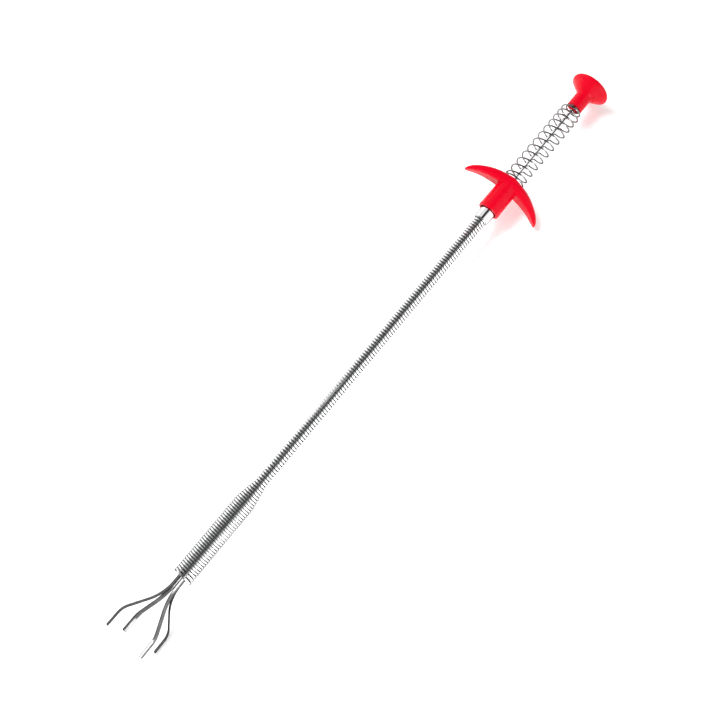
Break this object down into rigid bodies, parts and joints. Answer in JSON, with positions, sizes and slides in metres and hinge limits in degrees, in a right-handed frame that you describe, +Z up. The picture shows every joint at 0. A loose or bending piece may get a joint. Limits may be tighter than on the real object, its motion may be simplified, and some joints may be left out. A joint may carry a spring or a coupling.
{
  "type": "drain auger",
  "caption": "Flexible spring-tube drain auger with a push knob, crescent finger grip, return spring and spring-steel claws that reach out of a wide bell.",
  "frame": {"origin": "on the surface that the tool lies on, halfway along its length, under its axis", "axes": "+X along the tool towards the push knob, +Z up; the tool rests on two claws and the knob rim, which leaves the finger grip leaning 22 degrees out of level"},
  "size_m": [0.6, 0.072, 0.0402],
  "materials": {
    "red_plastic": "glossy moulded",
    "chrome": "bright plated",
    "spring_wire": "bright plated wire",
    "casing_wire": "bright plated wire",
    "cable_wire": "stranded wire",
    "claw_steel": "rolled spring steel"
  },
  "bodies": {
    "handle": {"handle": "red_plastic", "sleeve": "chrome", "return_spring": "spring_wire", "casing_1": "casing_wire", "cable_1": "cable_wire"},
    "plunger": {"knob": "red_plastic", "plunger_rod": "chrome"},
    "casing_b": {"casing_2": "casing_wire", "cable_2": "cable_wire"},
    "casing_c": {"casing_3": "casing_wire", "cable_3": "cable_wire"},
    "casing_d": {"casing_4": "casing_wire", "cable_4": "cable_wire"},
    "head": {"casing_5": "casing_wire", "taper": "casing_wire", "bell": "casing_wire", "cable_5": "cable_wire"},
    "claw_head": {"claw_ferrule": "claw_steel", "claw_1_shank": "claw_steel", "claw_2_shank": "claw_steel", "claw_3_shank": "claw_steel", "claw_4_shank": "claw_steel"},
    "claw_1": {"claw_1_hook": "claw_steel"},
    "claw_2": {"claw_2_hook": "claw_steel"},
    "claw_3": {"claw_3_hook": "claw_steel"},
    "claw_4": {"claw_4_hook": "claw_steel"}
  },
  "joints": [
    {"name": "plunger_slide", "type": "slide", "parent": "handle", "child": "plunger", "axis": [-1, 0, 0], "range_m": [-0.035, 0.012], "stiffness_N_per_m": 300, "deforming": ["return_spring"]},
    {"name": "casing_flex_1", "type": "hinge", "parent": "handle", "child": "casing_b", "pos_m": [0.1, 0, 0.01988], "axis": [0, 0, 1], "range_deg": [-25, 25], "stiffness_Nm_per_rad": 0.45, "deforming": ["casing_1", "cable_1"]},
    {"name": "casing_flex_2", "type": "hinge", "parent": "casing_b", "child": "casing_c", "pos_m": [0.042, 0, 0.01988], "axis": [0, 0, 1], "range_deg": [-25, 25], "stiffness_Nm_per_rad": 0.45, "deforming": ["casing_2", "cable_2"]},
    {"name": "casing_flex_3", "type": "hinge", "parent": "casing_c", "child": "casing_d", "pos_m": [-0.016, 0, 0.01988], "axis": [0, 0, 1], "range_deg": [-25, 25], "stiffness_Nm_per_rad": 0.45, "deforming": ["casing_3", "cable_3"]},
    {"name": "casing_flex_4", "type": "hinge", "parent": "casing_d", "child": "head", "pos_m": [-0.074, 0, 0.01988], "axis": [0, 0, 1], "range_deg": [-25, 25], "stiffness_Nm_per_rad": 0.45, "deforming": ["casing_4", "casing_5", "cable_4", "cable_5"]},
    {"name": "claw_slide", "type": "slide", "parent": "head", "child": "claw_head", "axis": [-1, 0, 0], "range_m": [-0.035, 0.012]},
    {"name": "claw_1_swing", "type": "hinge", "parent": "claw_head", "child": "claw_1", "pos_m": [-0.249, 0.00233, 0.02281], "axis": [0, 0.7826, -0.6225], "range_deg": [-24, 8.5]},
    {"name": "claw_2_swing", "type": "hinge", "parent": "claw_head", "child": "claw_2", "pos_m": [-0.249, -0.0031, 0.02185], "axis": [0, 0.5373, 0.8434], "range_deg": [-23.4, 8.3]},
    {"name": "claw_3_swing", "type": "hinge", "parent": "claw_head", "child": "claw_3", "pos_m": [-0.249, -0.00255, 0.01689], "axis": [0, -0.7604, 0.6494], "range_deg": [-25.6, 9]},
    {"name": "claw_4_swing", "type": "hinge", "parent": "claw_head", "child": "claw_4", "pos_m": [-0.249, 0.00239, 0.01708], "axis": [0, -0.7604, -0.6494], "range_deg": [-23.4, 8.3]}
  ],
  "couplings": [
    {"joint": "claw_slide", "follows": "plunger_slide", "ratio": 1},
    {"joint": "claw_1_swing", "follows": "plunger_slide", "rad_per_m": 11.8},
    {"joint": "claw_2_swing", "follows": "plunger_slide", "rad_per_m": 11.5},
    {"joint": "claw_3_swing", "follows": "plunger_slide", "rad_per_m": 12.6},
    {"joint": "claw_4_swing", "follows": "plunger_slide", "rad_per_m": 11.5}
  ]
}
